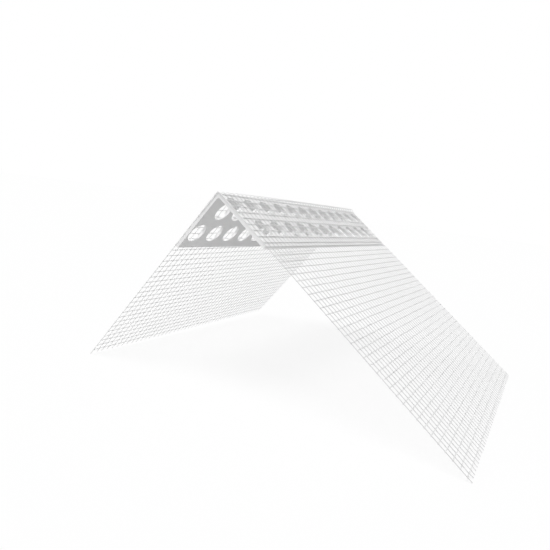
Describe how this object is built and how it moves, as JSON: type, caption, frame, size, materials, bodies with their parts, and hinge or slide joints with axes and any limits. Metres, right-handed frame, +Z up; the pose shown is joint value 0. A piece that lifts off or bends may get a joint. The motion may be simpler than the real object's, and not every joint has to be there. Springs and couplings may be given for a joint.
{
  "type": "mesh corner bead",
  "caption": "Perforated plastic angle with reinforcing mesh bonded over its outer faces, in unequal wings that reach well past its legs.",
  "frame": {"origin": "centre of the bounding box in plan, on the floor that both mesh edges stand on", "axes": "+X along the bead from the front end to the far end, +Y from the long wing towards the short wing, +Z up"},
  "size_m": [0.117, 0.1286, 0.0616],
  "materials": {
    "pvc": "extruded white PVC, satin",
    "mesh": "white coated glass-fibre mesh, satin"
  },
  "bodies": {
    "root": {"corner_profile": "pvc", "mesh_long_1": "mesh", "mesh_long_2": "mesh", "mesh_long_3": "mesh", "mesh_long_4": "mesh", "mesh_long_5": "mesh", "mesh_short_1": "mesh", "mesh_short_2": "mesh", "mesh_short_3": "mesh", "mesh_short_4": "mesh"}
  },
  "joints": []
}
